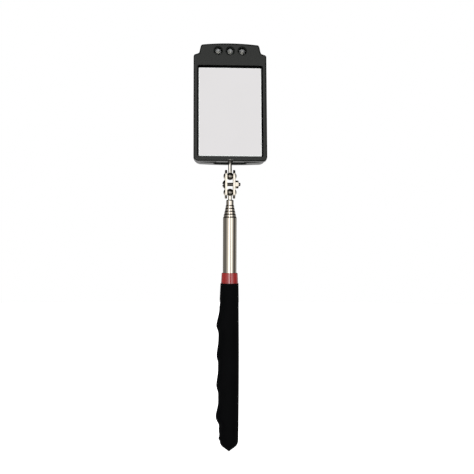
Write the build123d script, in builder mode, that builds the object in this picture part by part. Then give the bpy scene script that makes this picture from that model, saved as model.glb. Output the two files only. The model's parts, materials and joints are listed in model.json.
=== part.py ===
from build123d import *
import os
from math import cos, pi, radians, sin

os.makedirs("parts", exist_ok=True)

# Telescoping inspection mirror, standing upright on its handle's axis.
# +Z runs up the handle towards the mirror, the mirror looks along -Y, and the
# origin is on the handle's axis at the middle of the grip. Millimetres.

# Telescope: an outer tube and five sections that slide and turn in each other
tube_radii = (4.95, 4.45, 3.95, 3.5, 3.1, 2.7)
sections = len(tube_radii) - 1
outer_radius = tube_radii[0]
tube_wall = 0.25
outer_tube_top = 108.9
outer_tube_bottom = -51.5
section_length = 159.5
section_step = 2.1
last_step = 2.9
neck_height = 1.5
neck_slope = 0.5
neck_play = 0.05
lip_slope = 0.85
lip_edge = 0.08

# Friction bush of each section, held between two beads at its lower end
bush_length = 27.0
bush_play = 0.02
bush_slit = 0.9
bead_low = 0.4
bead_width = 1.0
bead_play = 0.04
bead_slope = 0.3

# Handle
handle_play = 0.02
grip_top = 60.6
grip_nose = -52.9
grip_tip = -61.1
grip_end_radius = 6.8
nose_corner = -56.1
nose_round = 6.0
grip_slices = 40
grip_half = 58.0
palm_reach = 7.08
palm_taper = 0.41
palm_widest = -8.6
finger_reach = 8.22
finger_taper = 1.43
finger_widest = -1.1
grip_ridges = [(29.8, 1.68), (8.1, 1.05), (-13.6, 1.2), (-36.6, 2.05)]
ridge_upper = 11.8
ridge_lower = 5.4
plug_flange = 1.5
plug_spigot = 2.6
collar_top = 68.2
collar_top_radius = 5.8
collar_low_radius = 6.15
collar_chamfer = 0.35

# Double ball joint
ball_radius = 2.75
ball_play = 0.02
rod_radius = 1.35
lower_ball_z = 126.4
upper_ball_z = 138.1
plate_inner = 2.2
plate_thick = 1.5
plate_width = 7.0
plate_overhang = 4.6
plate_round = 3.4
plate_edge = 0.3
cup_radius = 3.2
cup_reach = 4.8
shoulder_top = 121.2
shoulder_round_radius = 1.0
shoulder_sweep = 60.0
stud_plug_length = 8.0

# Clamp screw and nut
screw_radius = 1.25
screw_hole_radius = 1.35
screw_head_radius = 3.1
screw_head_height = 1.9
screw_head_rim = 0.4
screw_slot_width = 0.8
screw_slot_depth = 0.8
nut_flats = 5.0
nut_height = 2.4
nut_chamfer = 0.35
screw_end = 7.55

# Head: "up" is measured along the upper stud from the upper ball, "depth"
# forwards from the stud's axis to the mirror's face
head_tilt = 8.0
head_half_width = 26.6
head_bottom = 9.85
head_corner = 3.4
shoulder_up = 88.9
shoulder_round = 1.6
step_half_width = 22.6
step_up = 90.2
step_round = 1.8
crown_half_width = 21.2
crown_up = 96.6
crown_round = 1.8
crown_apex = 97.85
face_front = 7.4
bezel_back = 2.3
head_back = -5.1
rim_round = 1.3
notch_width = 3.6
notch_height = 1.2

# Mirror, sunk into the bezel on a shelf with an open gap all round
mirror_mid = 47.05
glass_width = 45.6
glass_height = 65.9
glass_front = 4.4
glass_back = 2.9
glass_corner = 0.6
glass_bevel = 0.55
glass_gap = 1.0
recess_corner = 1.3
recess_round = 0.25
shelf_width = 42.7
shelf_height = 62.9
part_play = 0.1
seal_floor = 0.5
seal_wall = 0.35
seal_front = 6.5
seal_play = 0.03
pad_width = 42.0
pad_low = 26.0
pad_high = 64.0
pad_back = 1.8

# Lamps
led_up = 91.85
led_pitch = 8.76
led_radius = 2.5
led_flange_radius = 2.9
led_flange = 1.0
led_tip = 7.2
led_hole_radius = 2.8
led_sink_radius = 3.5
lead_radius = 0.25
lead_spacing = 1.27
lead_length = 1.7
board_front = -1.4
board_thick = 1.0
board_half_width = 14.5
board_low = 86.8
board_high = 95.0
board_corner = 0.8
resistor_x = 12.9
resistor_width = 1.6
resistor_length = 3.2
resistor_height = 0.6

# Rear housing
housing_inset = 0.15
housing_belly = 0.8
housing_corner = 5.5
housing_wall = 1.5
housing_floor = 1.4
housing_chamfer = 0.6
slot_length = 24.6
slot_width = 2 * bezel_back
slot_floor = 10.65
tab_offset = 14.0
tab_width = 6.0
tab_thick = 0.7
tab_reach = 2.2
case_screw_x = 18.0
case_screw_up = 91.6
case_screw_radius = 0.85
case_screw_head = 1.9
case_screw_head_height = 1.0
case_screw_length = 8.6
case_boss_radius = 2.6
case_bore_radius = 2.1
case_bore_depth = 1.4
case_hole_depth = 3.2
case_screw_play = 0.25
case_screw_edge = 0.35
cross_length = 1.9
cross_width = 0.45
cross_depth = 1.1
tray_post_places = [(-20, 30), (20, 30), (-20, 65.5), (20, 65.5)]
tray_post_radius = 1.5
board_post_places = [(-12.6, 88.4), (12.6, 88.4)]
board_post_radius = 1.2

# Swivel of the head on the upper stud
swivel_bush_radius = 1.95
swivel_bush_low = 11.3
swivel_bush_high = 17.4
clip_low = 17.65
clip_thick = 0.6
clip_radius = 2.4
clip_groove_radius = 1.0
clip_slot = 1.5
clip_room = 18.5
clip_room_width = 5.2
clip_room_length = 6.0
clip_room_shift = -0.2
rod_room = 0.15
hub_high = 20.5
hub_half_width = 4.5
stud_end = 20.2

# Batteries, their tray and the sliding cover
cell_radius = 10.0
cell_cap_radius = 8.6
cell_cap = 0.3
cell_thick = 3.2
cell_x = 10.6
cell_up = 49.0
cell_front = -0.15
tray_back = 0.6
tray_half_width = 24.1
tray_low = 25.0
tray_high = 67.0
tray_frame_width = 45.0
tray_frame_height = 25.0
tray_frame_wall = 0.9
tray_frame_back = -3.3
cover_left = -22.0
cover_height = 26.0
cover_tongue = 1.0
cover_tongue_thick = 0.7
cover_play = 0.1
cover_slot_front = -3.3
cover_slot_length = 10.0
ridge_count = 6
ridge_pitch = 1.6
ridge_width = 0.7
ridge_depth = 0.4
ridge_length = 14.0
ridge_start = 12.0
contact_thick = 0.3
contact_width = 5.0
contact_play = 0.02
spring_half = 2.5
spring_foot = 5.5
contact_end = 2.5
contact_bend = 69.0
contact_lap = 1.2
bridge_half_width = 14.0
bridge_height = 6.0

# Push switch
button_up = 76.0
button_radius = 3.5
button_hole_radius = 3.6
button_flange_radius = 4.1
button_flange = 0.7
button_outer = -4.9
button_dish_radius = 12.0
button_dish_depth = 0.35
button_dish_margin = 1.2
button_edge = 0.4
button_lift = 0.1
switch_size = 8.5
switch_back = -1.0
switch_front = 2.2
switch_pocket = 2.8
switch_pocket_front = 0.8
plunger_size = 2.6
plunger_front = -0.4
switch_rim_wall = 1.0
switch_rim_front = 1.0

# The head's own planes: FACE is parallel to the mirror through the stud's
# axis, SWIVEL is square to the stud, SIDE is seen from the head's right
FACE = Plane(
    origin=(0, 0, upper_ball_z),
    x_dir=(1, 0, 0),
    z_dir=(0, -cos(radians(head_tilt)), sin(radians(head_tilt))),
)
SWIVEL = Plane(origin=FACE.origin, x_dir=(1, 0, 0), z_dir=FACE.y_dir)
SIDE = Plane(origin=FACE.origin, x_dir=FACE.y_dir, z_dir=(1, 0, 0))
DEPTH = Axis(FACE.origin, FACE.z_dir)


def save(piece, name):
    """Label a finished piece and write its STEP file."""
    piece.part.label = name
    export_step(piece.part, f"parts/{name}.step")


def on_face(depth, *points):
    """Places on a plane parallel to the mirror, at (x, up), facing forwards."""
    return [FACE.offset(depth).location * Location((x, up, 0)) for x, up in points]


def on_back(depth, *points):
    """Places on a plane parallel to the mirror, at (x, up), facing backwards."""
    return [place * Location((0, 0, 0), (180, 0, 0)) for place in on_face(depth, *points)]


# ---------------------------------------------------------------- telescope
def tube_gap(index):
    """Room between a section and the bore of the tube round it."""
    return tube_radii[index - 1] - tube_wall - tube_radii[index]


def tube_top(index):
    """Height of a tube's mouth with the telescope pushed in."""
    extra = last_step - section_step if index == sections else 0
    return outer_tube_top + index * section_step + extra


def bead(radius, height, low):
    """Outline of a rolled bead that stands out of a tube's wall by height."""
    return [
        (radius, low),
        (radius + height, low + bead_slope),
        (radius + height, low + bead_width - bead_slope),
        (radius, low + bead_width),
    ]


def make_tube(name, index):
    """A drawn tube: a tapered, necked mouth above, and two beads round its bush below."""
    outside = tube_radii[index]
    bore = outside - tube_wall
    top = tube_top(index)
    bottom = outer_tube_bottom if index == 0 else top - section_length
    mouth = bore if index == sections else tube_radii[index + 1] + neck_play
    points = [(bore, bottom), (outside, bottom)]
    if index > 0:
        height = tube_gap(index) - bead_play
        low_bead = bottom + bead_low
        high_bead = low_bead + bead_width + bush_length
        points += bead(outside, height, low_bead) + bead(outside, height, high_bead)
    if index < sections:
        points += [(outside, top - lip_slope), (mouth + lip_edge, top), (mouth, top)]
        points += [(mouth, top - neck_height), (bore, top - neck_height - neck_slope)]
    else:
        points += [(outside, top), (bore, top)]
    with BuildPart() as tube:
        with BuildSketch(Plane.XZ):
            with BuildLine():
                Polyline(*points, close=True)
            make_face()
        revolve(axis=Axis.Z)
    save(tube, name)


def make_friction_bush(name, index):
    """A split spring sleeve that grips the tube outside it and lets the section turn."""
    inner = tube_radii[index] + bush_play
    outer = tube_radii[index - 1] - tube_wall - bush_play
    low = tube_top(index) - section_length + bead_low + bead_width
    with BuildPart() as bush:
        with BuildSketch(Plane.XY.offset(low + bush_play)):
            Circle(outer)
            Circle(inner, mode=Mode.SUBTRACT)
            with Locations((0, inner)):
                Rectangle(bush_slit, 2, mode=Mode.SUBTRACT)
        extrude(amount=bush_length - 2 * bush_play)
    save(bush, name)


make_tube("outer_tube", 0)
for number in range(1, sections + 1):
    make_tube(f"tube_section_{number}", number)
    make_friction_bush(f"friction_bush_{number}", number)

# ------------------------------------------------------------------- handle
# Plug that closes the outer tube's lower end
with BuildPart() as end_plug:
    with BuildSketch(Plane.XY.offset(outer_tube_bottom)):
        Circle(outer_radius - tube_wall - handle_play)
    extrude(amount=plug_spigot)
    with BuildSketch(Plane.XY.offset(outer_tube_bottom)):
        Circle(outer_radius)
    extrude(amount=-plug_flange)
    chamfer(end_plug.edges().filter_by(GeomType.CIRCLE).sort_by(Axis.Z)[-1], length=0.4)
save(end_plug, "end_plug")


def palm_side(height):
    """How far the grip reaches from the axis towards the palm (+X)."""
    return palm_reach - palm_taper * ((height - palm_widest) / grip_half) ** 2


def finger_side(height):
    """How far the grip reaches towards the fingers (-X), with its four ridges."""
    reach = finger_reach - finger_taper * ((height - finger_widest) / grip_half) ** 2
    for ridge_height, swell in grip_ridges:
        above = height - ridge_height
        share = above / (ridge_upper if above > 0 else ridge_lower)
        if abs(share) < 1:
            reach += swell * cos(pi / 2 * share) ** 2
    return reach


# Moulded grip: a closed sleeve that ends in a rounded, blunt nose
with BuildPart() as grip:
    for step in range(grip_slices):
        height = grip_top + (grip_nose - grip_top) * step / grip_slices
        with BuildSketch(Plane.XY.offset(height)):
            with Locations(((palm_side(height) - finger_side(height)) / 2, 0)):
                Ellipse((palm_side(height) + finger_side(height)) / 2, palm_side(height))
    with BuildSketch(Plane.XY.offset(grip_nose)):
        Circle(grip_end_radius)
    loft()
    with BuildSketch(Plane.XZ):
        with BuildLine():
            FilletPolyline(
                (0, grip_tip),
                (grip_end_radius, nose_corner),
                (grip_end_radius, grip_nose),
                radius=nose_round,
            )
            Polyline((grip_end_radius, grip_nose), (0, grip_nose), (0, grip_tip))
        make_face()
    revolve(axis=Axis.Z)
    with BuildSketch(Plane.XY.offset(grip_top)):
        Circle(outer_radius + handle_play)
    extrude(amount=outer_tube_bottom - plug_flange - grip_top, mode=Mode.SUBTRACT)
save(grip, "grip")

# Coloured collar between the grip and the bare tube
with BuildPart() as collar:
    with BuildSketch(Plane.XZ):
        with BuildLine():
            Polyline(
                (outer_radius + handle_play, grip_top),
                (collar_low_radius, grip_top),
                (collar_top_radius, collar_top),
                (outer_radius + handle_play, collar_top),
                close=True,
            )
        make_face()
    revolve(axis=Axis.Z)
    chamfer(
        collar.edges().group_by(Axis.Z)[-1].sort_by(SortBy.LENGTH)[-1],
        length=collar_chamfer,
    )
save(collar, "collar")

# --------------------------------------------------------------- ball joint
# Lower stud: a plug in the last section, a shoulder on its rim and a thin rod
with BuildPart() as lower_stud:
    tip = tube_radii[sections]
    plug = tip - tube_wall - handle_play
    rim = tube_top(sections)
    with BuildSketch(Plane.XZ):
        with BuildLine():
            Polyline(
                (rod_radius, lower_ball_z),
                (0, lower_ball_z),
                (0, rim - stud_plug_length),
                (plug, rim - stud_plug_length),
                (plug, rim),
                (tip, rim),
            )
            corner = (tip - shoulder_round_radius, rim)
            shoulder = CenterArc(corner, shoulder_round_radius, 0, shoulder_sweep)
            Polyline(shoulder @ 1, (rod_radius, shoulder_top), (rod_radius, lower_ball_z))
        make_face()
    revolve(axis=Axis.Z)
    with Locations((0, 0, lower_ball_z)):
        Sphere(ball_radius + ball_play, mode=Mode.SUBTRACT)
save(lower_stud, "lower_stud")

with BuildPart() as lower_ball:
    with Locations((0, 0, lower_ball_z)):
        Sphere(ball_radius)
save(lower_ball, "lower_ball")

with BuildPart() as upper_ball:
    with Locations((0, 0, upper_ball_z)):
        Sphere(ball_radius)
save(upper_ball, "upper_ball")

# Upper stud: the rod that the head turns on, grooved for its clip
with BuildPart() as upper_stud:
    with BuildSketch(SWIVEL):
        Circle(rod_radius)
    extrude(amount=stud_end)
    chamfer(upper_stud.edges().sort_by(Axis(SWIVEL.origin, SWIVEL.z_dir))[-1], length=0.3)
    with BuildSketch(SWIVEL.offset(clip_low)):
        Circle(rod_radius + 1)
        Circle(clip_groove_radius, mode=Mode.SUBTRACT)
    extrude(amount=clip_thick, mode=Mode.SUBTRACT)
    with Locations(SWIVEL.origin):
        Sphere(ball_radius + ball_play, mode=Mode.SUBTRACT)
save(upper_stud, "upper_stud")

with BuildPart() as stud_clip:
    with BuildSketch(SWIVEL.offset(clip_low)):
        Circle(clip_radius)
        Circle(clip_groove_radius, mode=Mode.SUBTRACT)
        with Locations((0, -clip_radius)):
            Rectangle(clip_slot, 2 * clip_radius, mode=Mode.SUBTRACT)
    extrude(amount=clip_thick)
save(stud_clip, "stud_clip")

screw_z = (lower_ball_z + upper_ball_z) / 2
plate_outer = plate_inner + plate_thick
plate_length = upper_ball_z - lower_ball_z + 2 * plate_overhang


# Clamp plates: stamped strips with a cup for each ball, the right one mirrored
with BuildPart() as clamp_plate_left:
    with BuildSketch(Plane.YZ.offset(-plate_outer)):
        with Locations((0, screw_z)):
            RectangleRounded(plate_width, plate_length, plate_round)
    extrude(amount=plate_thick)
    fillet(clamp_plate_left.faces().sort_by(Axis.X)[0].edges(), radius=plate_edge)
    with BuildSketch(Plane.YZ.offset(-plate_outer)):
        with Locations((0, screw_z)):
            Circle(screw_hole_radius)
    extrude(amount=plate_thick, mode=Mode.SUBTRACT)
    cup_x = cup_radius - cup_reach
    with Locations((cup_x, 0, lower_ball_z), (cup_x, 0, upper_ball_z)):
        Sphere(cup_radius)
    split(bisect_by=Plane.YZ.offset(-plate_inner), keep=Keep.BOTTOM)
    with Locations((0, 0, lower_ball_z), (0, 0, upper_ball_z)):
        Sphere(ball_radius + ball_play, mode=Mode.SUBTRACT)
save(clamp_plate_left, "clamp_plate_left")

with BuildPart() as clamp_plate_right:
    mirror(clamp_plate_left.part, about=Plane.YZ)
save(clamp_plate_right, "clamp_plate_right")

# Clamp screw, its domed and slotted head on the left
with BuildPart() as clamp_screw:
    with BuildSketch(Plane.YZ.offset(-plate_outer)):
        with Locations((0, screw_z)):
            Circle(screw_radius)
    extrude(amount=plate_outer + screw_end)
    chamfer(clamp_screw.edges().sort_by(Axis.X)[-1], length=0.3)
    with BuildSketch(Plane.XZ):
        with BuildLine():
            dome = screw_head_height - screw_head_rim
            dome_radius = (dome**2 + screw_head_radius**2) / (2 * dome)
            rim_point = (-plate_outer, screw_z + screw_head_radius)
            low_rim = (-plate_outer - screw_head_rim, screw_z + screw_head_radius)
            crown = (-plate_outer - screw_head_height, screw_z)
            Polyline(crown, (-plate_outer, screw_z), rim_point, low_rim)
            RadiusArc(low_rim, crown, -dome_radius)
        make_face()
    revolve(axis=Axis((0, 0, screw_z), (1, 0, 0)))
    with BuildSketch(Plane.YZ.offset(-plate_outer - screw_head_height)):
        with Locations((0, screw_z)):
            Rectangle(2 * screw_head_radius, screw_slot_width)
    extrude(amount=screw_slot_depth, mode=Mode.SUBTRACT)
save(clamp_screw, "clamp_screw")

# Hexagon nut on the right, one flat to the front
with BuildPart() as clamp_nut:
    with BuildSketch(Plane.YZ.offset(plate_outer)):
        with Locations((0, screw_z)):
            RegularPolygon(nut_flats / 2, 6, major_radius=False, rotation=30)
            Circle(screw_radius + handle_play, mode=Mode.SUBTRACT)
    extrude(amount=nut_height)
    with BuildSketch(Plane.YZ.offset(plate_outer + nut_height)):
        with Locations((0, screw_z)):
            Circle(nut_flats)
            Circle(nut_flats / 2 + nut_chamfer, mode=Mode.SUBTRACT)
    extrude(amount=-nut_chamfer, taper=-45, mode=Mode.SUBTRACT)
save(clamp_nut, "clamp_nut")


# --------------------------------------------------------------------- head
def head_outline(depth, inset, corner, belly=0):
    """The head's outline parallel to the mirror, moved inwards by inset, its bottom bowed by belly."""
    half_width = head_half_width - inset
    bottom = head_bottom + inset
    shoulder = shoulder_up - inset
    step = step_up - inset
    step_x = step_half_width - inset
    crown_x = crown_half_width - inset
    crown = crown_up - inset
    with BuildSketch(FACE.offset(depth)) as outline:
        with BuildLine():
            ThreePointArc((crown_x, crown), (0, crown_apex - inset), (-crown_x, crown))
            Polyline(
                (-crown_x, crown),
                (-step_x, step),
                (-half_width, shoulder),
                (-half_width, bottom),
            )
            if belly:
                ThreePointArc((-half_width, bottom), (0, bottom - belly), (half_width, bottom))
            else:
                Line((-half_width, bottom), (half_width, bottom))
            Polyline(
                (half_width, bottom),
                (half_width, shoulder),
                (step_x, step),
                (crown_x, crown),
            )
        make_face()
        fillet(outline.vertices().group_by(Axis.Y)[-1], radius=crown_round)
        fillet(outline.vertices().group_by(Axis.Y)[2], radius=step_round)
        fillet(outline.vertices().group_by(Axis.Y)[1], radius=shoulder_round)
        fillet(outline.vertices().group_by(Axis.Y)[0], radius=corner)
    return outline.sketch


led_places = [(-led_pitch, led_up), (0, led_up), (led_pitch, led_up)]
case_places = [(-case_screw_x, case_screw_up), (case_screw_x, case_screw_up)]

# Front bezel: a deep recess for the mirror with a shelf under it, and three lamp holes above
with BuildPart() as front_bezel:
    extrude(head_outline(bezel_back, 0, head_corner), amount=face_front - bezel_back)
    fillet(front_bezel.faces().sort_by(DEPTH)[-1].edges(), radius=rim_round)
    with BuildSketch(FACE.offset(glass_back)):
        with Locations((0, mirror_mid)):
            RectangleRounded(
                glass_width + 2 * glass_gap, glass_height + 2 * glass_gap, recess_corner
            )
    extrude(amount=face_front - glass_back, mode=Mode.SUBTRACT)
    recess_rim = front_bezel.faces().sort_by(DEPTH)[-1].inner_wires()[0].edges()
    fillet(recess_rim, radius=recess_round)
    with BuildSketch(FACE.offset(bezel_back)):
        with Locations((0, mirror_mid)):
            RectangleRounded(shelf_width, shelf_height, recess_corner)
    extrude(amount=glass_back - bezel_back, mode=Mode.SUBTRACT)
    with Locations(*on_face(face_front, *led_places)):
        CounterSinkHole(led_hole_radius, led_sink_radius, depth=face_front - bezel_back)
    with Locations(*on_back(bezel_back, *case_places)):
        Hole(case_screw_radius, depth=case_hole_depth)
    # notch in the bottom edge, where the upper stud goes in
    with BuildSketch(FACE.offset(bezel_back)):
        with Locations((0, head_bottom)):
            Rectangle(notch_width, 2 * notch_height)
    extrude(amount=face_front - bezel_back, mode=Mode.SUBTRACT)
    # two tabs that hook into the housing's bottom wall
    with BuildSketch(FACE.offset(bezel_back)):
        tab_up = head_bottom + housing_inset + housing_wall + part_play + tab_thick / 2
        with Locations((-tab_offset, tab_up), (tab_offset, tab_up)):
            Rectangle(tab_width, tab_thick)
    extrude(amount=-tab_reach)
save(front_bezel, "front_bezel")

# Mirror: float glass silvered behind, its front edges ground to a bevel
with BuildPart() as mirror_glass:
    with BuildSketch(FACE.offset(glass_back)):
        with Locations((0, mirror_mid)):
            RectangleRounded(glass_width, glass_height, glass_corner)
    extrude(amount=glass_front - glass_back)
    chamfer(mirror_glass.faces().sort_by(DEPTH)[-1].edges(), length=glass_bevel)
save(mirror_glass, "mirror_glass")

# Black rubber seal that lines the recess: a floor up to the glass and a thin wall
with BuildPart() as mirror_seal:
    seal_width = glass_width + 2 * glass_gap - 2 * seal_play
    seal_height = glass_height + 2 * glass_gap - 2 * seal_play
    with BuildSketch(FACE.offset(glass_back)):
        with Locations((0, mirror_mid)):
            RectangleRounded(seal_width, seal_height, recess_corner)
            RectangleRounded(
                glass_width + 2 * seal_play,
                glass_height + 2 * seal_play,
                glass_corner,
                mode=Mode.SUBTRACT,
            )
    extrude(amount=seal_floor)
    with BuildSketch(FACE.offset(glass_back + seal_floor)):
        with Locations((0, mirror_mid)):
            RectangleRounded(seal_width, seal_height, recess_corner)
            RectangleRounded(
                seal_width - 2 * seal_wall,
                seal_height - 2 * seal_wall,
                recess_corner - seal_wall,
                mode=Mode.SUBTRACT,
            )
    extrude(amount=seal_front - glass_back - seal_floor)
save(mirror_seal, "mirror_seal")

# Foam pad that sticks the glass to the battery tray
with BuildPart() as mirror_pad:
    with BuildSketch(FACE.offset(pad_back)):
        with Locations((0, (pad_low + pad_high) / 2)):
            RectangleRounded(pad_width, pad_high - pad_low, 2)
    extrude(amount=glass_back - pad_back)
save(mirror_pad, "mirror_pad")

# Rear housing: a tray-shaped shell with its hub, posts and openings
housing_inner = head_back + housing_floor
switch_room = switch_size + 2 * part_play
switch_rim_size = switch_room + 2 * switch_rim_wall
groove_height = cover_height + 2 * cover_tongue
with BuildPart() as rear_housing:
    shell = head_outline(head_back, housing_inset, housing_corner, housing_belly)
    extrude(shell, amount=bezel_back - head_back)
    chamfer(rear_housing.faces().sort_by(DEPTH)[0].edges(), length=housing_chamfer)
    hollow = head_outline(
        housing_inner, housing_inset + housing_wall, housing_corner - housing_wall
    )
    extrude(hollow, amount=bezel_back - housing_inner, mode=Mode.SUBTRACT)
    # hub for the swivel bush
    with BuildSketch(FACE.offset(housing_inner)):
        hub_low = head_bottom + housing_inset + housing_wall / 2
        with Locations((0, (hub_low + hub_high) / 2)):
            Rectangle(2 * hub_half_width, hub_high - hub_low)
    extrude(amount=bezel_back - part_play - housing_inner)
    # bosses for the case screws, posts under the tray and under the lamp board
    with BuildSketch(FACE.offset(housing_inner)):
        with Locations(*case_places):
            Circle(case_boss_radius)
    extrude(amount=bezel_back - housing_inner)
    with BuildSketch(FACE.offset(housing_inner)):
        with Locations(*tray_post_places):
            Circle(tray_post_radius)
    extrude(amount=tray_back - housing_inner)
    with BuildSketch(FACE.offset(housing_inner)):
        with Locations(*board_post_places):
            Circle(board_post_radius)
    extrude(amount=board_front - board_thick - housing_inner)
    # square rim that holds the switch
    with BuildSketch(FACE.offset(housing_inner)):
        with Locations((0, button_up)):
            Rectangle(switch_rim_size, switch_rim_size)
            Rectangle(switch_room, switch_room, mode=Mode.SUBTRACT)
    extrude(amount=switch_rim_front - housing_inner)
    # bore for the swivel bush, room for its clip and for the stud's end
    with BuildSketch(SWIVEL.offset(head_bottom - housing_belly)):
        Circle(swivel_bush_radius)
    extrude(amount=swivel_bush_high - head_bottom + housing_belly, mode=Mode.SUBTRACT)
    with BuildSketch(SWIVEL.offset(swivel_bush_high)):
        with Locations((0, clip_room_shift)):
            Rectangle(clip_room_width, clip_room_length)
    extrude(amount=clip_room - swivel_bush_high, mode=Mode.SUBTRACT)
    with BuildSketch(SWIVEL.offset(clip_room)):
        Circle(rod_radius + rod_room)
    extrude(amount=hub_high - clip_room, mode=Mode.SUBTRACT)
    with BuildSketch(SWIVEL.offset(slot_floor)):
        SlotOverall(slot_length, slot_width)
    extrude(amount=head_bottom - housing_belly - slot_floor, mode=Mode.SUBTRACT)
    # opening and grooves for the sliding cover, open at the right-hand side
    with BuildSketch(FACE.offset(head_back)):
        with Locations((cover_left, cell_up)):
            Rectangle(2 * head_half_width, cover_height, align=(Align.MIN, Align.CENTER))
    extrude(amount=housing_floor, mode=Mode.SUBTRACT)
    with BuildSketch(FACE.offset(housing_inner - cover_tongue_thick)):
        with Locations((cover_left - cover_tongue, cell_up)):
            Rectangle(2 * head_half_width, groove_height, align=(Align.MIN, Align.CENTER))
    extrude(amount=cover_tongue_thick, mode=Mode.SUBTRACT)
    with BuildSketch(FACE.offset(housing_inner)):
        with Locations((tray_half_width, cell_up)):
            Rectangle(cover_slot_length, groove_height, align=(Align.MIN, Align.CENTER))
    extrude(amount=cover_slot_front - housing_inner, mode=Mode.SUBTRACT)
    # button hole and its shallow finger dish, and the case screws' holes
    with Locations(*on_back(head_back, (0, button_up))):
        CounterBoreHole(
            button_hole_radius,
            button_hole_radius + button_dish_margin,
            button_dish_depth,
            depth=housing_floor,
        )
    with Locations(*on_back(head_back, *case_places)):
        CounterBoreHole(
            case_screw_radius + case_screw_play,
            case_bore_radius,
            case_bore_depth,
            depth=bezel_back - head_back,
        )
save(rear_housing, "rear_housing")

# Nylon bush that the upper stud turns in
with BuildPart() as swivel_bush:
    with BuildSketch(SWIVEL.offset(swivel_bush_low)):
        Circle(swivel_bush_radius - ball_play)
        Circle(rod_radius + ball_play, mode=Mode.SUBTRACT)
    extrude(amount=swivel_bush_high - swivel_bush_low)
save(swivel_bush, "swivel_bush")

# Two self-tapping screws from behind, with crossed slots
with BuildPart() as case_screws:
    with BuildSketch(FACE.offset(head_back + case_bore_depth)):
        with Locations(*case_places):
            Circle(case_screw_head)
    extrude(amount=-case_screw_head_height)
    fillet(case_screws.faces().group_by(DEPTH)[0].edges(), radius=case_screw_edge)
    with BuildSketch(FACE.offset(head_back + case_bore_depth)):
        with Locations(*case_places):
            Circle(case_screw_radius - ball_play)
    extrude(amount=case_screw_length)
    with Locations(*on_back(head_back + case_bore_depth - case_screw_head_height, *case_places)):
        Box(cross_length, cross_width, cross_depth, mode=Mode.SUBTRACT)
        Box(cross_width, cross_length, cross_depth, mode=Mode.SUBTRACT)
save(case_screws, "case_screws")

# ------------------------------------------------------------------- lamps
lead_places = [(x + side * lead_spacing, up) for x, up in led_places for side in (-1, 1)]

for name, place in zip(("led_left", "led_centre", "led_right"), led_places):
    with BuildPart() as led:
        with BuildSketch(FACE.offset(board_front)):
            with Locations(place):
                Circle(led_flange_radius)
        extrude(amount=led_flange)
        with BuildSketch(FACE.offset(board_front)):
            with Locations(place):
                Circle(led_radius)
        extrude(amount=led_tip - led_radius - board_front)
        with Locations(*on_face(led_tip - led_radius, place)):
            Sphere(led_radius)
        with BuildSketch(FACE.offset(board_front)):
            with Locations((place[0] - lead_spacing, place[1]), (place[0] + lead_spacing, place[1])):
                Circle(lead_radius)
        extrude(amount=-lead_length)
    save(led, name)

with BuildPart() as led_board:
    with BuildSketch(FACE.offset(board_front - board_thick)):
        with Locations((0, (board_low + board_high) / 2)):
            RectangleRounded(2 * board_half_width, board_high - board_low, board_corner)
        with Locations(*lead_places):
            Circle(lead_radius + 0.1, mode=Mode.SUBTRACT)
    extrude(amount=board_thick)
save(led_board, "led_board")

with BuildPart() as led_resistor:
    with BuildSketch(FACE.offset(board_front)):
        with Locations((resistor_x, led_up + 1)):
            Rectangle(resistor_width, resistor_length)
    extrude(amount=resistor_height)
    chamfer(led_resistor.faces().sort_by(DEPTH)[-1].edges(), length=resistor_height / 6)
save(led_resistor, "led_resistor")

# --------------------------------------------------------------- batteries
# Tray: a plate behind the glass and a frame that holds the two coin cells
with BuildPart() as battery_tray:
    with BuildSketch(FACE.offset(tray_back)):
        with Locations((0, (tray_low + tray_high) / 2)):
            RectangleRounded(2 * tray_half_width, tray_high - tray_low, 1)
    extrude(amount=pad_back - tray_back)
    with BuildSketch(FACE.offset(tray_frame_back)):
        with Locations((0, cell_up)):
            Rectangle(tray_frame_width, tray_frame_height)
            Rectangle(
                tray_frame_width - 2 * tray_frame_wall,
                tray_frame_height - 2 * tray_frame_wall,
                mode=Mode.SUBTRACT,
            )
        with Locations((-cell_x, cell_up + 12), (cell_x, cell_up + 12)):
            Rectangle(contact_width + 0.6, 4, mode=Mode.SUBTRACT)
    extrude(amount=tray_back - tray_frame_back)
save(battery_tray, "battery_tray")

for name, x, cap_side in (("coin_cell_left", -cell_x, 1), ("coin_cell_right", cell_x, -1)):
    cell_back = cell_front - cell_thick
    can_back = cell_back if cap_side > 0 else cell_back + cell_cap
    with BuildPart() as cell:
        with BuildSketch(FACE.offset(can_back)):
            with Locations((x, cell_up)):
                Circle(cell_radius)
        extrude(amount=cell_thick - cell_cap)
        fillet(cell.edges().filter_by(GeomType.CIRCLE), radius=0.25)
        with BuildSketch(FACE.offset(cell_back)):
            with Locations((x, cell_up)):
                Circle(cell_cap_radius)
        extrude(amount=cell_thick)
    save(cell, name)

# Leaf contacts: each springs from the tray to its cell and runs up to the board
for name, x in (("battery_contact_left", -cell_x), ("battery_contact_right", cell_x)):
    flat = tray_back - contact_thick / 2 - contact_play
    sprung = cell_front + contact_thick / 2 + contact_play
    on_board = board_front + contact_thick / 2 + contact_play
    with BuildPart() as contact:
        with BuildSketch(SIDE.offset(x - contact_width / 2)):
            with BuildLine():
                Polyline(
                    (cell_up - spring_foot - contact_end, flat),
                    (cell_up - spring_foot, flat),
                    (cell_up - spring_half, sprung),
                    (cell_up + spring_half, sprung),
                    (cell_up + spring_foot, flat),
                    (contact_bend, flat),
                    (contact_bend + contact_end, on_board),
                    (board_low + contact_lap, on_board),
                )
            trace(line_width=contact_thick)
        extrude(amount=contact_width)
    save(contact, name)

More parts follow.
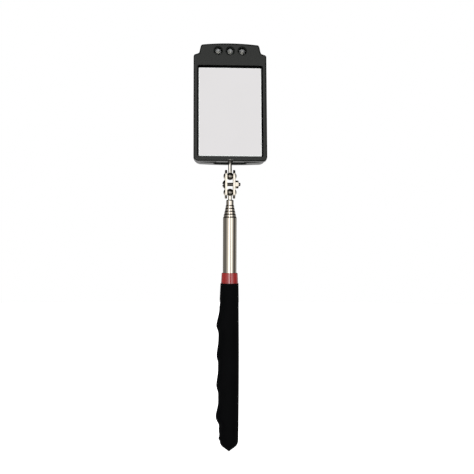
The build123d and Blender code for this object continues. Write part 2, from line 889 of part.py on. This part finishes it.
# Cover that slides off to the right, with thumb ridges
with BuildPart() as battery_cover:
    cover_right = head_half_width - housing_inset
    with BuildSketch(FACE.offset(head_back)):
        with Locations((cover_left + cover_play, cell_up)):
            Rectangle(
                cover_right - cover_left - cover_play,
                cover_height - 2 * cover_play,
                align=(Align.MIN, Align.CENTER),
            )
    extrude(amount=housing_floor)
    with BuildSketch(FACE.offset(housing_inner)):
        with Locations((cover_left - cover_tongue + cover_play, cell_up)):
            Rectangle(
                cover_right - cover_left + cover_tongue - cover_play,
                cover_height + 2 * cover_tongue - 2 * cover_play,
                align=(Align.MIN, Align.CENTER),
            )
    extrude(amount=-cover_tongue_thick + cover_play)
    right_edge = battery_cover.edges().filter_by(Axis(FACE.origin, FACE.y_dir))
    chamfer(right_edge.group_by(Axis.X)[-1].sort_by(DEPTH)[0], length=housing_chamfer)
    with BuildSketch(FACE.offset(head_back)):
        for ridge in range(ridge_count):
            with Locations((ridge_start + ridge * ridge_pitch, cell_up)):
                Rectangle(ridge_width, ridge_length)
    extrude(amount=ridge_depth, mode=Mode.SUBTRACT)
save(battery_cover, "battery_cover")

# Strip on the cover's inside that joins the two cells
with BuildPart() as cover_contact:
    with BuildSketch(FACE.offset(housing_inner)):
        with Locations((0, cell_up)):
            RectangleRounded(2 * bridge_half_width, bridge_height, 1.5)
    extrude(amount=contact_thick)
save(cover_contact, "cover_contact")

# ------------------------------------------------------------- push switch
with BuildPart() as switch_body:
    with BuildSketch(FACE.offset(switch_back)):
        with Locations((0, button_up)):
            Rectangle(switch_size, switch_size)
    extrude(amount=switch_front - switch_back)
    with BuildSketch(FACE.offset(switch_back)):
        with Locations((0, button_up)):
            Rectangle(switch_pocket, switch_pocket)
    extrude(amount=switch_pocket_front - switch_back, mode=Mode.SUBTRACT)
save(switch_body, "switch_body")

button_flange_back = housing_inner + button_lift
with BuildPart() as push_button:
    with BuildSketch(FACE.offset(button_outer)):
        with Locations((0, button_up)):
            Circle(button_radius)
    extrude(amount=button_flange_back + button_flange - button_outer)
    fillet(push_button.faces().sort_by(DEPTH)[0].edges(), radius=button_edge)
    with BuildSketch(FACE.offset(button_flange_back)):
        with Locations((0, button_up)):
            Circle(button_flange_radius)
    extrude(amount=button_flange)
    with Locations(*on_face(button_outer - button_dish_radius + button_dish_depth, (0, button_up))):
        Sphere(button_dish_radius, mode=Mode.SUBTRACT)
save(push_button, "push_button")

with BuildPart() as switch_plunger:
    with BuildSketch(FACE.offset(button_flange_back + button_flange)):
        with Locations((0, button_up)):
            Rectangle(plunger_size, plunger_size)
    extrude(amount=plunger_front - button_flange_back - button_flange)
save(switch_plunger, "switch_plunger")
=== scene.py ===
import json
from math import cos, pi, radians, sin, sqrt, tau

import bmesh
import bpy
from mathutils import Matrix, Vector


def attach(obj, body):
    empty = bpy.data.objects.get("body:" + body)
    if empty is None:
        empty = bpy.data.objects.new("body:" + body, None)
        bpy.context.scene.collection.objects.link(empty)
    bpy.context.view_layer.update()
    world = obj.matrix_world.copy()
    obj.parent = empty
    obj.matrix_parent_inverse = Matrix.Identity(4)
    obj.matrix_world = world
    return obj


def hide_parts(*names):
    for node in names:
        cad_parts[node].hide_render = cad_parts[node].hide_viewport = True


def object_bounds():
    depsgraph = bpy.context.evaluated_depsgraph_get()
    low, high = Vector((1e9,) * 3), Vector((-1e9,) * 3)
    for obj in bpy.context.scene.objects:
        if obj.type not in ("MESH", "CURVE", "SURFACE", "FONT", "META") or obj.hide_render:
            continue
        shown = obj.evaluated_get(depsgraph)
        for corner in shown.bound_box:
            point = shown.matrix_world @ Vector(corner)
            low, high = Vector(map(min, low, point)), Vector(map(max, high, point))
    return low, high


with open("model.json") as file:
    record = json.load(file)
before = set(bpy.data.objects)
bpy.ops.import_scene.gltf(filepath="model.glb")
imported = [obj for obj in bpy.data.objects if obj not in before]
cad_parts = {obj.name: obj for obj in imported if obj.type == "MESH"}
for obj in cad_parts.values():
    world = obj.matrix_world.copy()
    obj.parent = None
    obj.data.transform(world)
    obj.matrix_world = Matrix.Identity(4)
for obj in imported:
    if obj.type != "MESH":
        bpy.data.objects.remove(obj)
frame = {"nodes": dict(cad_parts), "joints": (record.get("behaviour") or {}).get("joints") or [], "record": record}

# Telescoping inspection mirror. Metres, +Z up the handle, the mirror looks along -Y.

CAD_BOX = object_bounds()
NODES = frame["nodes"]
JOINTS = {joint["name"]: joint for joint in frame["joints"]}
MM = 0.001


# ------------------------------------------------------------------ placing
def head_frame():
    """The head's own axes: x to the right, y up along the stud, z out of the mirror."""
    up = Vector(JOINTS["head_turn"]["axis"])
    forward = Vector(JOINTS["button_press"]["axis"])
    origin = Vector(JOINTS["head_turn"]["pos_m"])
    turn = Matrix((up.cross(forward), up, forward)).transposed().to_4x4()
    return Matrix.Translation(origin) @ turn


HEAD = head_frame()


def box_in(matrix, node):
    """Lowest and highest corner of a CAD node, measured along the axes of matrix."""
    inverse = matrix.inverted()
    points = [inverse @ vertex.co for vertex in NODES[node].data.vertices]
    low = Vector(min(p[i] for p in points) for i in range(3))
    high = Vector(max(p[i] for p in points) for i in range(3))
    return low, high


def middle(low, high):
    return (low + high) / 2


# ---------------------------------------------------------------- materials
def new_material(name):
    """A node material and its main shader."""
    material = bpy.data.materials.new(name)
    material.use_nodes = True
    tree = material.node_tree
    return tree, tree.nodes["Principled BSDF"], material


def add_node(tree, kind, **inputs):
    """A node with some of its inputs set, by name."""
    node = tree.nodes.new(kind)
    for key, value in inputs.items():
        node.inputs[key.replace("_", " ")].default_value = value
    return node


def set_shader(shader, **values):
    for key, value in values.items():
        shader.inputs[key.replace("_", " ")].default_value = value


def noise(tree, scale, detail=3.0, stretch=(1, 1, 1), roughness=0.5):
    """Noise on the piece's own coordinates; scale counts features in a metre."""
    place = tree.nodes.new("ShaderNodeTexCoord")
    mapping = add_node(tree, "ShaderNodeMapping", Scale=stretch)
    texture = add_node(tree, "ShaderNodeTexNoise", Scale=scale, Detail=detail, Roughness=roughness)
    tree.links.new(place.outputs["Object"], mapping.inputs["Vector"])
    tree.links.new(mapping.outputs["Vector"], texture.inputs["Vector"])
    return texture.outputs["Fac"]


def ramp(tree, source, low, high, start=0.3, end=0.7):
    """Colours between low and high as source goes from start to end."""
    node = tree.nodes.new("ShaderNodeValToRGB")
    node.color_ramp.elements[0].position = start
    node.color_ramp.elements[0].color = (*low, 1)
    node.color_ramp.elements[1].position = end
    node.color_ramp.elements[1].color = (*high, 1)
    tree.links.new(source, node.inputs["Fac"])
    return node.outputs["Color"]


def spread(tree, source, low, high, start=0.3, end=0.7):
    """A number between low and high as source goes from start to end."""
    node = tree.nodes.new("ShaderNodeMapRange")
    for key, value in (("From Min", start), ("From Max", end), ("To Min", low), ("To Max", high)):
        node.inputs[key].default_value = value
    tree.links.new(source, node.inputs["Value"])
    return node.outputs["Result"]


def bump(tree, shader, height, strength, distance):
    node = add_node(tree, "ShaderNodeBump", Strength=strength, Distance=distance)
    tree.links.new(height, node.inputs["Height"])
    tree.links.new(node.outputs["Normal"], shader.inputs["Normal"])


def paint(tree, shader, source, low, high):
    """Base colour between low and high, by source."""
    tree.links.new(ramp(tree, source, low, high), shader.inputs["Base Color"])


def roughen(tree, shader, source, low, high):
    """Roughness between low and high, by source."""
    tree.links.new(spread(tree, source, low, high), shader.inputs["Roughness"])


def plastic(name, low, high, roughness, grain=2600, depth=0.00004, gloss=0.5):
    """Moulded plastic with a fine spark-eroded grain."""
    tree, shader, material = new_material(name)
    set_shader(shader, Specular_IOR_Level=gloss)
    fine = noise(tree, grain, detail=2.0)
    broad = noise(tree, 60, detail=2.0)
    paint(tree, shader, broad, low, high)
    roughen(tree, shader, broad, roughness - 0.04, roughness + 0.05)
    bump(tree, shader, fine, 0.5, depth)
    return material


def metal(name, low, high, roughness, stretch=(1, 1, 1), scale=900, depth=0.000004):
    """Plated metal; stretch draws its fine scratches out along one axis."""
    tree, shader, material = new_material(name)
    set_shader(shader, Metallic=1.0)
    lines = noise(tree, scale, detail=4.0, stretch=stretch)
    cloud = noise(tree, 90, detail=2.0)
    paint(tree, shader, cloud, low, high)
    roughen(tree, shader, lines, roughness * 0.75, roughness * 1.35)
    bump(tree, shader, lines, 0.35, depth)
    return material


# Sockets of the Mix node when it mixes colours
MIX_FIRST = 6
MIX_SECOND = 7
MIX_RESULT = 2
# The glass is silvered where its surface faces the way the mirror does, and ground
# where it leans away: the cosine of the lean at which one gives way to the other
GROUND_UNDER = 0.97
SILVER_OVER = 0.985


def mirror_material():
    """Silvered glass in front, and a matt ground bevel wherever the surface leans away, with a painted highlight:
    the bevel glows faintly white.
    """
    tree, shader, material = new_material("mirror_face")
    place = tree.nodes.new("ShaderNodeTexCoord")
    facing = tree.nodes.new("ShaderNodeVectorMath")
    facing.operation = "DOT_PRODUCT"
    facing.inputs[1].default_value = HEAD.col[2].xyz
    tree.links.new(place.outputs["Normal"], facing.inputs[0])
    silver = spread(tree, facing.outputs["Value"], 0.0, 1.0, GROUND_UNDER, SILVER_OVER)
    haze = noise(tree, 40, detail=3.0)
    polish = ramp(tree, haze, (0.895, 0.885, 0.89), (0.905, 0.895, 0.90))
    mix = tree.nodes.new("ShaderNodeMix")
    mix.data_type = "RGBA"
    tree.links.new(silver, mix.inputs["Factor"])
    ground = ramp(tree, noise(tree, 1500), (0.93, 0.97, 0.95), (1.0, 1.0, 1.0))
    tree.links.new(ground, mix.inputs[MIX_FIRST])
    tree.links.new(polish, mix.inputs[MIX_SECOND])
    tree.links.new(mix.outputs[MIX_RESULT], shader.inputs["Base Color"])
    tree.links.new(silver, shader.inputs["Metallic"])
    # painted highlight: the ground bevel is given a faint white emission so that it shows as a bright edge; the
    # glass makes no light
    tree.links.new(spread(tree, silver, 0.5, 0.0, 0, 1), shader.inputs["Emission Strength"])
    shader.inputs["Emission Color"].default_value = (0.97, 1.0, 0.98, 1)
    tree.links.new(spread(tree, silver, 0.45, 0.012, 0, 1), shader.inputs["Roughness"])
    return material


def red_material():
    """Glossy red plastic, drawn out a little along the handle."""
    tree, shader, material = new_material("red_plastic")
    set_shader(
        shader, Specular_IOR_Level=0.1, Coat_Weight=1.0, Coat_Roughness=0.02, Coat_IOR=1.85
    )
    cloud = noise(tree, 120, detail=2.0)
    paint(tree, shader, cloud, (0.22, 0.008, 0.008), (0.27, 0.012, 0.010))
    roughen(tree, shader, cloud, 0.20, 0.28)
    bump(tree, shader, noise(tree, 500, detail=2.0, stretch=(1, 1, 0.1)), 0.05, 0.00001)
    return material


def lamp_material():
    """Clear epoxy, very slightly hazy."""
    tree, shader, material = new_material("led_clear")
    set_shader(shader, IOR=1.53, Transmission_Weight=0.9)
    haze = noise(tree, 700, detail=2.0)
    paint(tree, shader, haze, (0.82, 0.84, 0.84), (0.88, 0.90, 0.90))
    roughen(tree, shader, haze, 0.03, 0.08)
    return material


def chip_material():
    """The dull yellow coating of a white lamp's chip."""
    tree, shader, material = new_material("phosphor")
    cloud = noise(tree, 2500, detail=2.0)
    paint(tree, shader, cloud, (0.26, 0.25, 0.19), (0.34, 0.33, 0.26))
    set_shader(shader, Roughness=0.6)
    return material


# Darkest colour, lightest colour, roughness and what else is not as usual
PLASTICS = {
    "head_plastic": ((0.0066, 0.0080, 0.0065), (0.0088, 0.0103, 0.0086), 0.24, {}),
    "inner_plastic": ((0.03, 0.03, 0.033), (0.045, 0.045, 0.05), 0.5, {}),
    "nylon": ((0.68, 0.66, 0.60), (0.76, 0.74, 0.69), 0.45, {}),
    "grip_rubber": (
        (0.0010, 0.0012, 0.0015), (0.0016, 0.0018, 0.0022), 0.7,
        {"grain": 3200, "depth": 0.00006, "gloss": 0.06},
    ),
    "button_rubber": ((0.010, 0.010, 0.011), (0.016, 0.016, 0.017), 0.6, {}),
    # painted shade: the seal round the mirror is almost perfectly black and dull, so that the gap between glass
    # and bezel shows as deep shadow
    "seal_rubber": (
        (0.0004, 0.0004, 0.0004), (0.0008, 0.0008, 0.0008), 0.9, {"gloss": 0.02},
    ),
    "foam": (
        (0.02, 0.02, 0.022), (0.05, 0.05, 0.055), 0.9, {"grain": 1500, "depth": 0.0002},
    ),
    "circuit_board": ((0.01, 0.07, 0.025), (0.015, 0.10, 0.04), 0.3, {}),
    "chip": ((0.008, 0.008, 0.008), (0.014, 0.014, 0.014), 0.45, {}),
}
METALS = {
    "nickel_tube": (
        (0.79, 0.715, 0.60), (0.83, 0.76, 0.65), 0.05, {"stretch": (1, 1, 0.02), "scale": 2200},
    ),
    "nickel_joint": ((0.80, 0.77, 0.70), (0.88, 0.85, 0.78), 0.07, {}),
    "stamped_steel": ((0.78, 0.72, 0.61), (0.86, 0.81, 0.71), 0.10, {}),
    "lamp_cup": ((0.16, 0.16, 0.16), (0.24, 0.24, 0.24), 0.25, {}),
    # painted shade: dark_steel and ball_steel are darker copies of the joint's steel, for the dark that the shiny
    # balls and screw reflect
    "dark_steel": ((0.11, 0.10, 0.085), (0.17, 0.155, 0.135), 0.10, {}),
    "ball_steel": ((0.29, 0.27, 0.23), (0.36, 0.34, 0.30), 0.05, {}),
    "bush_bronze": ((0.62, 0.42, 0.18), (0.70, 0.50, 0.24), 0.3, {}),
    "black_steel": ((0.03, 0.03, 0.03), (0.05, 0.05, 0.05), 0.4, {}),
    "cell_steel": ((0.62, 0.62, 0.60), (0.70, 0.70, 0.68), 0.28, {"depth": 0.0000008}),
}


def make_materials():
    made = {}
    for name, (low, high, roughness, more) in PLASTICS.items():
        made[name] = plastic(name, low, high, roughness, **more)
    for name, (low, high, roughness, more) in METALS.items():
        made[name] = metal(name, low, high, roughness, **more)
    made["red_plastic"] = red_material()
    made["mirror_face"] = mirror_material()
    made["led_clear"] = lamp_material()
    made["phosphor"] = chip_material()
    return made


MATERIALS = make_materials()
# Nodes that look different from the rest of their material slot. The balls and the clamp screw get darker steel
# than the rest of the joint: painted shade for the dark room that their shiny steel reflects
SPECIAL = {
    "lower_ball": "ball_steel",
    "upper_ball": "ball_steel",
    "clamp_screw": "dark_steel",
    "lower_stud": "nickel_joint",
    "upper_stud": "nickel_joint",
}


def dress(piece, name):
    """Give a piece one material in every slot."""
    piece.data.materials.clear()
    piece.data.materials.append(MATERIALS[name])


for part in frame["record"]["subparts"]:
    node = part["node"]
    piece = NODES[node]
    finish = SPECIAL.get(node, part["material_slot"])
    for index in range(len(piece.material_slots)):
        piece.material_slots[index].material = MATERIALS[finish]


# ------------------------------------------------------------------- pieces
def mesh_piece(name, mesh, material, body, smooth=True):
    """Link a bmesh as a piece that rides on a body."""
    data = bpy.data.meshes.new(name)
    bmesh.ops.recalc_face_normals(mesh, faces=mesh.faces)
    mesh.to_mesh(data)
    mesh.free()
    for polygon in data.polygons:
        polygon.use_smooth = smooth
    piece = bpy.data.objects.new(name, data)
    bpy.context.scene.collection.objects.link(piece)
    dress(piece, material)
    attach(piece, body)
    return piece


def lathe(name, profile, axis, material, body, segments=48):
    """Turn a profile of (radius, height) points round an axis matrix's own z."""
    mesh = bmesh.new()
    rings = []
    for radius, height in profile:
        if radius < 1e-7:
            rings.append([mesh.verts.new(axis @ Vector((0, 0, height)))])
            continue
        ring = []
        for index in range(segments):
            angle = tau * index / segments
            corner = Vector((radius * cos(angle), radius * sin(angle), height))
            ring.append(mesh.verts.new(axis @ corner))
        rings.append(ring)
    for low, high in zip(rings, rings[1:]):
        for index in range(segments):
            after = (index + 1) % segments
            if len(low) == 1:
                mesh.faces.new((low[0], high[index], high[after]))
            elif len(high) == 1:
                mesh.faces.new((low[index], low[after], high[0]))
            else:
                mesh.faces.new((low[index], low[after], high[after], high[index]))
    return mesh_piece(name, mesh, material, body)


# Lamp, in metres: the flange stands out from the dome, and the cup stands under it
FLANGE_STEP = 0.4 * MM
FLANGE_THICK = 1.0 * MM
LEAD_LENGTH = 1.7 * MM
DOME_STEPS = 12
CUP_UNDER = 0.3 * MM
CUP_RIM = 1.15 * MM
CUP_FLOOR = 0.5 * MM
CUP_DEPTH = 0.9 * MM
CUP_WALL = 0.15 * MM
CUP_STEM = 1.5 * MM
CUP_STEM_EDGE = 0.2 * MM
CHIP_PROFILE = ((0, 0.88), (0.72, 0.6), (0.6, 0.4), (0, 0.25))


def make_lamp(node):
    """A clear lamp with a domed nose, and in it a metal cup with a yellow chip."""
    low, high = box_in(HEAD, node)
    centre = middle(low, high)
    axis = HEAD @ Matrix.Translation((centre.x, centre.y, 0))
    flange = (high.x - low.x) / 2
    radius = flange - FLANGE_STEP
    seat = low.z + LEAD_LENGTH
    shoulder = high.z - radius
    dome = []
    for step in range(1, DOME_STEPS + 1):
        angle = pi / 2 * step / DOME_STEPS
        dome.append((radius * cos(angle), shoulder + radius * sin(angle)))
    dome[-1] = (0, high.z)
    front = seat + FLANGE_THICK
    body = [(0, seat), (flange, seat), (flange, front), (radius, front), (radius, shoulder)]
    epoxy = lathe(f"{node}_epoxy", body + dome, axis, "led_clear", "head")
    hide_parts(node)
    top = shoulder - CUP_UNDER
    cup = [(0, top - CUP_DEPTH), (CUP_FLOOR, top - CUP_DEPTH), (CUP_RIM, top)]
    cup += [(CUP_RIM + CUP_WALL, top), (CUP_FLOOR + CUP_STEM_EDGE, top - CUP_STEM)]
    cup.append((0, top - CUP_STEM))
    lathe(f"{node}_cup", cup, axis, "lamp_cup", "head")
    bead = [(across * MM, top - under * MM) for across, under in CHIP_PROFILE]
    lathe(f"{node}_chip", bead, axis, "phosphor", "head")


for lamp in ("led_left", "led_centre", "led_right"):
    make_lamp(lamp)

# ------------------------------------------------------------------- studio
# The camera looks level at this point, and both are turned round the handle's axis,
# which takes the camera a little to the left
CENTRE = Vector((0.00522, 0.0, 0.0942))
CAMERA_DISTANCE = 0.70
CAMERA_LENS = 73.4
CAMERA_ROLL = radians(0.25)
CAMERA_AROUND = radians(-3.7)
FLOOR_RADIUS = 1.6
FLOOR_GAP = 0.0002


def make_camera():
    camera = bpy.data.objects.new("camera", bpy.data.cameras.new("camera"))
    bpy.context.scene.collection.objects.link(camera)
    camera.data.lens = CAMERA_LENS
    camera.data.clip_start = 0.01
    camera.rotation_mode = "QUATERNION"
    turn = Matrix.Rotation(CAMERA_AROUND, 3, "Z")
    camera.location = turn @ (CENTRE - Vector((0, CAMERA_DISTANCE, 0)))
    level = turn @ Matrix.Rotation(radians(90), 3, "X") @ Matrix.Rotation(CAMERA_ROLL, 3, "Z")
    camera.rotation_quaternion = level.to_quaternion()
    bpy.context.scene.camera = camera


def make_floor():
    """A pale round floor under the tip of the grip."""
    mesh = bmesh.new()
    bmesh.ops.create_circle(mesh, cap_ends=True, radius=FLOOR_RADIUS, segments=96)
    data = bpy.data.meshes.new("floor")
    mesh.to_mesh(data)
    mesh.free()
    floor = bpy.data.objects.new("floor", data)
    bpy.context.scene.collection.objects.link(floor)
    floor.location.z = CAD_BOX[0].z - FLOOR_GAP
    tree, shader, material = new_material("floor")
    cloud = noise(tree, 6, detail=2.0)
    paint(tree, shader, cloud, (0.90, 0.90, 0.90), (0.92, 0.92, 0.92))
    set_shader(shader, Roughness=0.9, Specular_IOR_Level=0.1, Emission_Strength=0.75)
    shader.inputs["Emission Color"].default_value = (1, 1, 1, 1)
    data.materials.append(material)
    floor.visible_glossy = False


# Brightness of the studio by compass angle, in degrees to the right of the camera:
# strips and gaps set to match the way that the tube shines.
AROUND = (
    (-180, 0.20),
    (-134, 0.20),
    (-100, 0.16),
    (-76, 0.12),
    (-55, 0.32),
    (-38, 0.56),
    (-26, 0.85),
    (-16, 1.2),
    (-10, 3.2),
    (2, 3.2),
    (5, 1.3),
    (8.4, 1.3),
    (9.6, 0.05),
    (17, 0.05),
    (20.5, 1.4),
    (28, 1.9),
    (40, 1.1),
    (54, 0.5),
    (66, 0.2),
    (86, 0.03),
    (104, 0.22),
    (134, 0.34),
    (180, 0.18),
)
# The same by height, in degrees above the horizon.
UPWARD = (
    (-90, 0.01),
    (-60, 0.02),
    (-35, 0.06),
    (-18, 0.5),
    (-8, 1.0),
    (5, 1.0),
    (10, 0.25),
    (24, 0.06),
    (50, 0.02),
    (90, 0.01),
)
# Patches by compass and by height: the soft panel above the two strips, the dim
# floor in front, a narrow panel up on the left, and the pale sweep low down behind.
ABOVE = ((-40, 0), (-22, 0.86), (22, 0.86), (40, 0)), ((8, 0), (17, 1.0), (30, 1.0), (38, 0))
LOW = ((-70, 0), (-45, 0.15), (45, 0.15), (70, 0)), ((-72, 0), (-58, 1.0), (-25, 1.0), (-15, 0))
STUD = ((-60, 0), (-45, 1.5), (-15, 1.5), (-6, 0)), ((8, 0), (13, 1.0), (21, 1.0), (26, 0))
BEHIND = (
    ((-180, 0.7), (-120, 0.7), (-95, 0), (95, 0), (120, 0.7), (180, 0.7)),
    ((-60, 0), (-40, 1.0), (-14, 1.0), (-6, 0)),
)
BRIGHTEST = 3.5


def math_node(tree, operation, *sources):
    """A maths node; each source is a number or another node's output."""
    node = tree.nodes.new("ShaderNodeMath")
    node.operation = operation
    for index, source in enumerate(sources):
        if isinstance(source, (int, float)):
            node.inputs[index].default_value = source
        else:
            tree.links.new(source, node.inputs[index])
    return node.outputs["Value"]


def profile(tree, angle, stops, full):
    """Brightness along an angle in degrees, through the stops, between -full and full."""
    place = tree.nodes.new("ShaderNodeMapRange")
    place.inputs["From Min"].default_value = -full
    place.inputs["From Max"].default_value = full
    tree.links.new(angle, place.inputs["Value"])
    curve = tree.nodes.new("ShaderNodeValToRGB")
    curve.color_ramp.interpolation = "EASE"
    elements = curve.color_ramp.elements
    while len(elements) < len(stops):
        elements.new(0.5)
    for element, (stop, value) in zip(elements, stops):
        element.position = (stop + full) / (2 * full)
        element.color = (value / BRIGHTEST,) * 3 + (1,)
    tree.links.new(place.outputs["Result"], curve.inputs["Fac"])
    return math_node(tree, "MULTIPLY", curve.outputs["Color"], BRIGHTEST)


def make_world():
    """A soft studio: upright strips and panels in a dim room for whatever reflects, and
    plain white for the camera and for matt surfaces."""
    world = bpy.data.worlds.new("studio")
    bpy.context.scene.world = world
    world.use_nodes = True
    tree = world.node_tree
    tree.nodes.clear()
    place = tree.nodes.new("ShaderNodeTexCoord")
    split = tree.nodes.new("ShaderNodeSeparateXYZ")
    turn = tree.nodes.new("ShaderNodeVectorRotate")
    turn.rotation_type = "Z_AXIS"
    turn.inputs["Angle"].default_value = -CAMERA_AROUND
    tree.links.new(place.outputs["Generated"], turn.inputs["Vector"])
    tree.links.new(turn.outputs["Vector"], split.inputs["Vector"])
    away = math_node(tree, "MULTIPLY", split.outputs["Y"], -1.0)
    compass = math_node(tree, "DEGREES", math_node(tree, "ARCTAN2", split.outputs["X"], away))
    height = math_node(tree, "DEGREES", math_node(tree, "ARCSINE", split.outputs["Z"]))

    def patch(around, upward):
        glow = profile(tree, compass, around, 180)
        return math_node(tree, "MULTIPLY", glow, profile(tree, height, upward, 90))

    front = math_node(tree, "MAXIMUM", patch(AROUND, UPWARD), patch(*ABOVE))
    front = math_node(tree, "MAXIMUM", front, patch(*STUD))
    low = math_node(tree, "ADD", patch(*LOW), patch(*BEHIND))
    light = math_node(tree, "ADD", front, low)
    room = tree.nodes.new("ShaderNodeBackground")
    tree.links.new(light, room.inputs["Strength"])
    room.inputs["Color"].default_value = (1.0, 0.99, 0.99, 1)
    white = tree.nodes.new("ShaderNodeBackground")
    white.inputs["Color"].default_value = (1, 1, 1, 1)
    path = tree.nodes.new("ShaderNodeLightPath")
    soft = math_node(tree, "MAXIMUM", path.outputs["Is Camera Ray"], path.outputs["Is Diffuse Ray"])
    mix = tree.nodes.new("ShaderNodeMixShader")
    tree.links.new(soft, mix.inputs["Fac"])
    tree.links.new(room.outputs["Background"], mix.inputs[1])
    tree.links.new(white.outputs["Background"], mix.inputs[2])
    output = tree.nodes.new("ShaderNodeOutputWorld")
    tree.links.new(mix.outputs["Shader"], output.inputs["Surface"])


def make_light(name, place, target, size, power):
    light = bpy.data.lights.new(name, "AREA")
    light.shape = "RECTANGLE"
    light.size, light.size_y = size
    light.energy = power
    lamp = bpy.data.objects.new(name, light)
    bpy.context.scene.collection.objects.link(lamp)
    lamp.location = place
    aim = Vector(target) - Vector(place)
    lamp.rotation_euler = aim.to_track_quat("-Z", "Y").to_euler()
    lamp.visible_camera = False
    return lamp


make_camera()
make_floor()
make_world()
make_light("key", (-0.55, -0.85, 0.75), (0, 0, 0.12), (0.5, 0.5), 0.4)
bpy.context.scene.view_settings.view_transform = "Standard"
